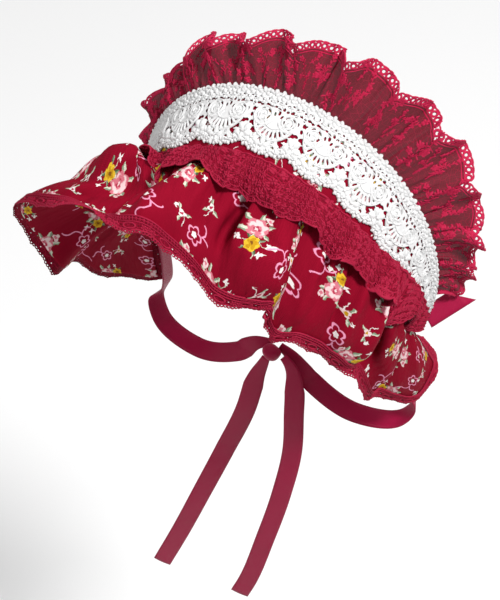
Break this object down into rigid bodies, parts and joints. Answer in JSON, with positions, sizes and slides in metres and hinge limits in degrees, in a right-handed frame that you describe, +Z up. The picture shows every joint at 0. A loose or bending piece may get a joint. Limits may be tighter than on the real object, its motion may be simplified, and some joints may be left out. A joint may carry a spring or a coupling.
{
  "type": "half bonnet",
  "caption": "Half bonnet of printed cotton: white lace over the headband, red lace ruffles beside it, a fluted brim and satin ribbons tied under the chin.",
  "frame": {"origin": "the underside of the headband at its middle, where the bonnet sits on the crown of the head", "axes": "+Z up the standing wearer, +Y to the back of the head, so the brim frames the face towards -Y, and +X to the wearer's left"},
  "size_m": [0.2513, 0.1309, 0.4768],
  "materials": {
    "printed_cotton": "matte",
    "white_guipure": "matte",
    "red_lace": "matte",
    "satin_ribbon": "satin"
  },
  "bodies": {
    "root": {"band": "printed_cotton", "lace_strip": "white_guipure", "back_ruffle": "red_lace", "front_ruffle": "red_lace", "brim": "printed_cotton", "edge_lace": "red_lace", "ribbon_fold_left": "satin_ribbon", "ribbon_fold_right": "satin_ribbon", "chin_tie_left": "satin_ribbon", "chin_tie_right": "satin_ribbon", "tie_knot": "satin_ribbon", "tie_tail_left": "satin_ribbon", "tie_tail_right": "satin_ribbon"}
  },
  "joints": []
}
